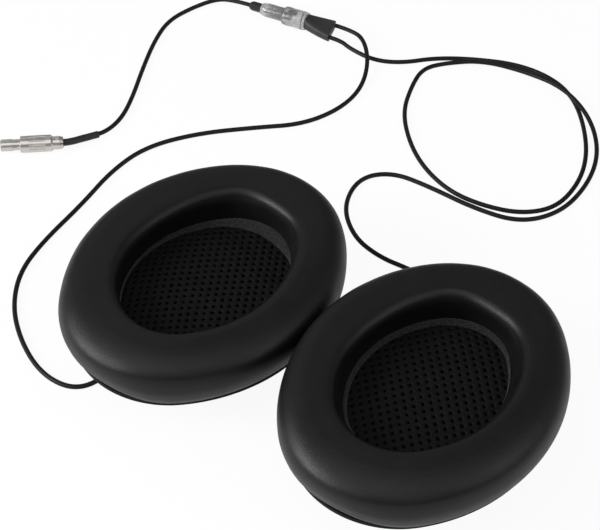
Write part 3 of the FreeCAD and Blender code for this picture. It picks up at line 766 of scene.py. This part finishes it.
def square_border():
    """Points round a unit square: its corners and two on each side."""
    corners = [(0.5, -0.5), (0.5, 0.5), (-0.5, 0.5), (-0.5, -0.5)]
    border = []
    for (ax, ay), (bx, by) in zip(corners, corners[1:] + corners[:1]):
        border += [(ax + (bx - ax) * k / 3, ay + (by - ay) * k / 3) for k in range(3)]
    return border


def eye_cell(along, across, size):
    """A cell's points about its own middle, and their heights, ring by ring."""
    points = []
    for roundness, ring_size, height in eye_rings:
        for u, v in square_border():
            angle = math.atan2(v, u)
            eye = along.normalized() * eye_half_length * math.cos(angle)
            eye += across.normalized() * eye_half_width * math.sin(angle)
            points.append(((along * u + across * v).lerp(eye * ring_size * size, roundness), height))
    return points


def cell_faces(start):
    """Faces between the rings of a cell whose first point has this number."""
    steps, faces = len(square_border()), []
    for ring in range(len(eye_rings) - 1):
        near, far = start + ring * steps, start + (ring + 1) * steps
        faces += [(near + j, near + (j + 1) % steps, far + (j + 1) % steps, far + j) for j in range(steps)]
    return faces


print("a cell has", len(cell_faces(0)), "faces")

# %% [markdown]
# The mesh lies on a slight dome. A piece of knit is never quite regular, so noise moves the points by a
# tenth of a millimetre or so, the same for both cells at a border, and eyes differ in size. Points past the
# edge are pulled onto it. A pad under the face closes it from below.

# %% Spacer mesh
mesh_edge_height = 23.4
mesh_dome = 0.9
mesh_hem = 0.5
cut_off = 1.05
eye_range = range(-16, 17)
eye_variation, variation_length = 0.25, 1.7


def mesh_share(side, spot):
    """How far from the middle of the mesh a spot lies. Its edge is at 1."""
    half_length, half_width, _ = mesh_edge[side]
    hem = mesh_hem + mesh_reach(side, math.atan2(spot.y, spot.x))
    return math.hypot(spot.x / (half_length + hem), spot.y / (half_width + hem))


def on_mesh(side, spot, height):
    share = mesh_share(side, spot)
    drift = noise.noise_vector(spot / 4.1) * 0.14 + noise.noise_vector(spot / 0.9) * 0.07
    dome = mesh_edge_height + mesh_dome * (1 - min(share, 1) ** 2)
    return mesh_middle[side] + (spot + drift) / max(share, 1) + Vector((0, 0, dome + height))


def mesh_face(side):
    turn = Matrix.Rotation(-cup_heading[side], 3, "Z")
    along, across = (turn @ step for step in eye_steps[side])
    points, faces = [], []
    for row in eye_range:
        for column in eye_range:
            middle = along * column + across * row
            if mesh_share(side, middle) > cut_off:
                continue
            faces += cell_faces(len(points))
            size = 1 + eye_variation * noise.noise(middle / variation_length)
            for spot, height in eye_cell(along, across, size):
                points.append(in_cup(side, on_mesh(side, middle + spot, height)))
    return piece(f"{side}_mesh_face", points, faces, yarn_finish, [f"{side}_spacer_mesh"])


for side in cup_centre:
    face = mesh_face(side)
    pad = slab_rows(side, (ear_opening, -0.4), 22.0, 22.85, 0.4)
    yarns = skin(f"{side}_mesh_pad", pad, upright_finish)
    print(face.name, len(face.data.polygons), "faces")

# %% [markdown]
# The pad on each cup's back is hook-and-loop tape with a short pile. It shows only from underneath.

# %% Back pads
def pile_fabric():
    pile = Finish("pad_fabric", Roughness=0.95, Specular_IOR_Level=0.15, Sheen_Weight=0.2)
    loops = pile.cells(0.5)
    # Painted shade: the gaps between the loops are darker than the loops.
    pile.vary(Base_Color=pile.blend(loops, grey(0.03), grey(0.006)))
    pile.raise_surface(1 - loops, 0.3)
    return pile.material


pile_finish = pile_fabric()
for side in cup_centre:
    tape = slab_rows(side, (seal_oval, -18.5), 0.0, 1.6, 0.4)
    pad = skin(f"{side}_back_pad", tape, pile_finish, replaces=[f"{side}_hook_pad"])
print("two back pads")

# %% [markdown]
# The heat-shrink on the plug and the boot of the junction are of similar rubber, with a dull shine and
# wiped patches. The boot's copy is lighter.

# %% Soft rubber
def soft_rubber(name, dark, light):
    rubber = Finish(name, Specular_IOR_Level=0.4)
    wipe = rubber.noise(3.0, 3.0)
    grain = rubber.noise(0.3, 2.0)
    rubber.vary(Base_Color=rubber.blend(wipe, dark, light), Roughness=0.38 + wipe * 0.15)
    rubber.raise_surface(grain, 0.02)
    return rubber.material


shrink_finish = soft_rubber("shrink_tube", grey(0.009), grey(0.017))
boot_finish = soft_rubber("boot_rubber", grey(0.016), grey(0.032))
print("two soft rubbers mixed")

# %% [markdown]
# Where the cord enters the plug it is covered with heat-shrink tube, cut square and shrunk by hand. So it
# has faint waves, which lean a little round it, and a small step at its end. Its rows are circles round
# the same kind of NURBS spline as the cord's.

# %% Heat-shrink
shrink_route = [(-93.22, 118.62, 3.2), (-90.03, 118.88, 3.05), (-84.7, 122.33, 2.1), (-79.3, 125.4, 1.42)]
shrink_sides = 24
shrink_size, shrink_wave = 1.34, 0.015
shrink_step = 0.4


def shrink_radius(share, angle):
    return shrink_size + shrink_wave * math.sin(share * 19 + 1.3 * math.sin(angle))


def tube_rows(points, radius_at):
    """Circles round a line, upright to it, with a radius that depends on the share of the way."""
    rows = []
    for k, point in enumerate(points):
        way = (points[min(k + 1, len(points) - 1)] - points[max(k - 1, 0)]).normalized()
        across = way.cross(Vector((0, 0, 1))).normalized()
        above = across.cross(way)
        row = []
        for angle in all_round(shrink_sides):
            radius = radius_at(k / (len(points) - 1), angle) * mm
            row.append(point + (across * math.cos(angle) + above * math.sin(angle)) * radius)
        rows.append(row)
    return rows


shrink_points = route_points(shrink_route, 20)
shrink_rows = tube_rows(shrink_points, shrink_radius)
shrink_rows.append([point.lerp(shrink_points[-1], shrink_step) for point in shrink_rows[-1]])
skin("shrink_sleeve", shrink_rows, shrink_finish, replaces=["plug_heat_shrink"], ring=False)
print("heat-shrink", round(line_length(shrink_points) / mm, 1), "mm long")

# %% [markdown]
# The junction ends in a soft boot that flattens and widens, with a cord leaving at each of its two corners.
# Its section changes from round to a flat block with a slight waist, so every row is worked out from the
# same formula. The two cords twist and bend the boot a little: its end hangs, leans and is out of square.

# %% Junction boot
junction_inlet = Vector((-23.3, 201.6, 3.8))
junction_heading = math.radians(-25.4)
boot_start, boot_length = 24.95, 10.95
boot_root, boot_end = (3.1, 2.7), (4.75, 1.75)
boot_droop, boot_roll, boot_skew = 1.15, 0.12, 0.1
waist_depth, waist_width = 0.16, 1.3
boot_rings, boot_sides, boot_edge = 25, 48, 0.45


def at_junction(along, aside, up):
    """From the junction's own millimetres to metres on the table."""
    return (junction_inlet + Matrix.Rotation(junction_heading, 3, "Z") @ Vector((along, aside, up))) * mm


def boot_section(share, inset=0.0):
    ease = share * (1.5 - 0.5 * share)
    half_width = boot_root[0] + (boot_end[0] - boot_root[0]) * ease - inset
    half_height = boot_root[1] + (boot_end[1] - boot_root[1]) * ease - inset
    squareness = 0.8 - 0.4 * ease
    row = []
    for angle in all_round(boot_sides):
        c, s = math.cos(angle), math.sin(angle)
        across = math.copysign(abs(c) ** squareness, c) * half_width
        up = math.copysign(abs(s) ** squareness, s) * half_height
        up *= 1 - waist_depth * ease * bell(across, waist_width)
        along = boot_start + boot_length * share - boot_skew * across * ease
        row.append(at_junction(along, across, up + (boot_roll * across - boot_droop) * ease))
    return row


boot_rows = [boot_section(k / (boot_rings - 1)) for k in range(boot_rings)]
boot_rows.append(boot_section(1.0, boot_edge))
boot = skin("boot_rubber", boot_rows, boot_finish, replaces=["junction_boot"], ring=False)
print("boot", len(boot.data.polygons), "faces")

# %% [markdown]
# The junction's two sleeves are frosted clear plastic, moulded with rounded shoulders. They are turned
# shapes, so each one is a profile of distances along the axis and radii, spun round it. The plastic lets
# light through but blurs it, so the joint inside shows only as dark and reddish patches.

# %% Clear sleeves
def clear_plastic():
    plastic = Finish("clear_plastic", Transmission_Weight=0.88, IOR=1.46, Specular_IOR_Level=0.5)
    haze = plastic.noise(1.2, 3.0)
    plastic.vary(Base_Color=plastic.blend(haze, grey(0.56), grey(0.84)), Roughness=0.08 + haze * 0.24)
    plastic.raise_surface(haze, 0.05)
    return plastic.material


clear_finish = clear_plastic()
front_profile = [
    (4.95, 1.6), (4.95, 1.9), (5.15, 2.2), (5.7, 2.5), (6.6, 2.7), (7.8, 2.8), (14.6, 2.8), (15.8, 2.8),
    (15.8, 2.1), (7.2, 2.1), (6.2, 1.6),
]
rear_profile = [
    (14.95, 3.05), (14.95, 3.25), (15.1, 3.5), (15.5, 3.68), (16.2, 3.75), (22.9, 3.75), (23.6, 3.72),
    (23.7, 3.6), (23.7, 3.1), (22.7, 3.05),
]
end_profile = [(23.85, 2.75), (23.85, 3.65), (24.0, 3.72), (24.55, 3.6), (24.9, 3.45), (24.9, 2.75)]
sleeve_sides = 48


def clear_sleeve(name, profile, node):
    """A ring from (along, radius) points, spun round the junction's axis."""
    rows = []
    for angle in all_round(sleeve_sides):
        rows.append([at_junction(x, r * math.cos(angle), r * math.sin(angle)) for x, r in profile])
    return skin(name, rows, clear_finish, replaces=[node])


clear_sleeve("front_clear_sleeve", front_profile, "junction_front_sleeve")
clear_sleeve("rear_clear_sleeve", rear_profile, "junction_rear_sleeve")
clear_sleeve("clear_end_ring", end_profile, "junction_end_ring")
print("clear sleeves and end ring spun")

# %% [markdown]
# Inside the sleeves the wires of the cords are joined on a small board. Two insulated ends show through the
# plastic, one dark and one red, as short rounded rods that lie on the board.

# %% Splice wires
wire_rings, wire_sides = 13, 16
wire_tip = 0.05


def wire_finish(name, dark, light):
    wire = Finish(name, Roughness=0.4)
    wire.vary(Base_Color=wire.blend(wire.noise(1.5, 3.0), dark, light))
    return wire.material


def splice_wire(name, start, end, aside, up, radius, finish):
    rows = []
    for k in range(wire_rings):
        share = k / (wire_rings - 1)
        fullness = math.sqrt(max(0.0, 1 - abs(2 * share - 1) ** 6))
        size = max(wire_tip, fullness) * radius
        along = start + (end - start) * share
        rows.append([
            at_junction(along, aside + size * math.cos(angle), up + size * math.sin(angle))
            for angle in all_round(wire_sides)
        ])
    return skin(name, rows, finish, ring=False)


dark_wire = wire_finish("dark_wire", grey(0.002), grey(0.006))
red_wire = wire_finish("red_wire", (0.06, 0.004, 0.012, 1), (0.015, 0.002, 0.005, 1))
splice_wire("dark_splice_wire", 10.9, 15.3, 0.55, 1.38, 0.58, dark_wire)
splice_wire("red_splice_wire", 17.0, 20.6, 1.0, 1.65, 1.0, red_wire)
print("two splice wires laid on the board")

# %% [markdown]
# The rest are hard parts whose CAD shape is right. Each gets a finish with the marks of how it is made.
# Moulded plastic has a fine spark texture from its tool and wears smooth in places. Turned metal keeps a
# fine lay under its plating, and fingers leave duller stains.

# %% Moulded and turned finishes
collar_grain_count = 1 / 0.00045


def moulded(name, dark, light, rough=0.55, shine=0.4):
    plastic = Finish(name, Specular_IOR_Level=shine)
    texture = plastic.noise(0.3, 2.0)
    wear = plastic.noise(6.0, 3.0)
    plastic.vary(Base_Color=plastic.blend(wear, dark, light), Roughness=rough - 0.1 + wear * 0.2)
    plastic.raise_surface(texture, 0.03)
    return plastic.material


def plated(name, dark, light, rough=0.32):
    metal = Finish(name, Metallic=1.0)
    stain = metal.noise(2.2, 4.0)
    lay = metal.noise(0.12, 1.0)
    metal.vary(
        Base_Color=metal.blend(stain, dark, light),
        Roughness=rough + (stain - 0.5) * 0.14 + (lay - 0.5) * 0.06,
    )
    metal.raise_surface(lay, 0.004)
    return metal.material


def grained_collar():
    """The junction's collar. Its grain is laid out in the collar's own box and only scatters the light."""
    collar = Finish("collar_plastic", Specular_IOR_Level=0.5)
    wear = collar.noise(6.0, 3.0)
    grain = collar.place.node("TexVoronoi", {}, {"Scale": collar_grain_count})
    collar.vary(Base_Color=collar.blend(wear, grey(0.004), grey(0.012)), Roughness=0.3 + wear * 0.2)
    collar.raise_surface(grain, 0.12)
    return collar.material


hard_finishes = {
    "shell_plastic": moulded("shell_plastic", grey(0.003), grey(0.006), 0.65, 0.12),
    "black_plastic": moulded("black_plastic", grey(0.004), grey(0.008), 0.55, 0.2),
    "insulator": moulded("insulator", (0.5, 0.44, 0.32, 1), (0.62, 0.56, 0.44, 1)),
    "board": moulded("board", (0.02, 0.07, 0.04, 1), (0.05, 0.11, 0.07, 1), 0.4),
    "wire_insulation": moulded("wire_insulation", (0.25, 0.02, 0.02, 1), (0.4, 0.04, 0.04, 1), 0.4),
    "diaphragm_film": moulded("diaphragm_film", (0.5, 0.47, 0.38, 1), (0.62, 0.6, 0.5, 1), 0.3),
    "nickel": plated("nickel", (0.5, 0.48, 0.45, 1), (0.68, 0.66, 0.63, 1)),
    "screw_steel": plated("screw_steel", (0.42, 0.42, 0.43, 1), (0.6, 0.6, 0.61, 1), 0.35),
    "magnet": plated("magnet", (0.55, 0.55, 0.54, 1), (0.7, 0.7, 0.69, 1), 0.2),
    "copper": plated("copper", (0.7, 0.35, 0.2, 1), (0.85, 0.5, 0.3, 1), 0.3),
}
print(len(hard_finishes), "hard finishes mixed")

# %% [markdown]
# The record names a material slot for every solid. Each solid gets the finish of its slot, the hidden ones
# under the new pieces too, so that the strain reliefs match the cords. Only the collar has its own.

# %% Finishes on the solids
slot_finishes = {
    **hard_finishes,
    "cord_jacket": jacket_finish,
    "shrink_tube": shrink_finish,
    "clear_plastic": clear_finish,
    "leatherette": leather_finish,
    "foam": foam_finish,
    "grey_knit": knit_finish,
    "black_mesh": yarn_finish,
    "pad_fabric": pile_finish,
}
slot_of = {part["node"]: part["material_slot"] for part in frame["record"]["subparts"]}
for name, node in frame["nodes"].items():
    node.data.materials.clear()
    node.data.materials.append(slot_finishes[slot_of[name]])
frame["nodes"]["junction_collar"].data.materials[0] = grained_collar()
print(len(set(slot_of.values())), "finishes on the solids")

# %% [markdown]
# The set lies on a white sweep. Its floor mixes a matt white with a plain glow: the camera, reflections and
# the clear plastic see mostly the glow, so the floor looks white, and the matt part still takes a little
# shadow. It lies a hair below the solids, so that the two don't fight for the same height.

# %% Floor
floor_reach = 4
floor_gap = 0.02 * mm


def white_floor():
    material = bpy.data.materials.new("white_sweep")
    material.use_nodes = True
    material.node_tree.nodes.clear()
    start = Signal(material.node_tree)
    matt = start.node("BsdfDiffuse", {}, {"Color": grey(0.9)})
    glow = start.node("Emission", {}, {"Color": grey(1.0), "Strength": 1.0})
    seen = start.node("LightPath", {}, {}, "Is Camera Ray")
    mirrored = start.node("LightPath", {}, {}, "Is Glossy Ray")
    through = start.node("LightPath", {}, {}, "Is Transmission Ray")
    glow_share = (seen + through) * 0.93 + mirrored * 0.5
    mixed = start.node("MixShader", {}, {0: glow_share, 1: matt, 2: glow})
    start.node("OutputMaterial", {}, {"Surface": mixed})
    return material


corners = [(-1, -1, 0), (1, -1, 0), (1, 1, 0), (-1, 1, 0)]
floor_mesh = bpy.data.meshes.new("floor")
floor_mesh.from_pydata([Vector(corner) * floor_reach for corner in corners], [], [(0, 1, 2, 3)])
floor_mesh.materials.append(white_floor())
floor = bpy.data.objects.new("floor", floor_mesh)
floor.location.z = cad_low.z - floor_gap
bpy.context.scene.collection.objects.link(floor)
print("floor", 2 * floor_reach, "m wide")

# %% [markdown]
# Black leather shows its form only by what it reflects. A lamp from the left gives the seals their bright
# lower left shoulders, a large one overhead lights the crowns and the mesh, a weak one behind draws the
# ridges, and one from the right lightens the near edges. With a pale world round it, the set is lit at a
# plain level, and nothing clips but the floor.

# %% Lamps and world
lamp_aim = Vector((0, 0.05, 0))


def softbox(name, place, size, power):
    lamp = bpy.data.lights.new(name, "AREA")
    lamp.shape = "RECTANGLE"
    lamp.size, lamp.size_y = size
    lamp.energy = power
    box = bpy.data.objects.new(name, lamp)
    box.location = place
    box.rotation_euler = (lamp_aim - Vector(place)).to_track_quat("-Z", "Y").to_euler()
    bpy.context.scene.collection.objects.link(box)


softbox("key", (-0.95, -0.2, 0.5), (0.55, 0.55), 12.5)
softbox("overhead", (-0.1, -0.5, 1.1), (1.3, 0.9), 4.5)
softbox("back", (-0.45, 1.0, 1.05), (1.1, 0.7), 1.1)
softbox("fill", (0.8, -0.3, 0.6), (0.5, 0.5), 2.0)

world = bpy.data.worlds.new("studio")
world.use_nodes = True
world.node_tree.nodes["Background"].inputs["Color"].default_value = grey(1.0)
world.node_tree.nodes["Background"].inputs["Strength"].default_value = 0.26
bpy.context.scene.world = world
bpy.context.scene.view_settings.view_transform = "Standard"
print("four lamps and a pale world")

# %% [markdown]
# Each cup's lead runs from the cup to the junction, and the plug lead runs on from the junction to the
# plug. Here each lead's length is only measured.

def declare(cord, route):
    length = line_length(route_points(route))
    print(cord.name, "declared")


declare(left_cord, left_lead_route)
declare(right_cord, right_lead_route)
declare(plug_cord, plug_lead_route)
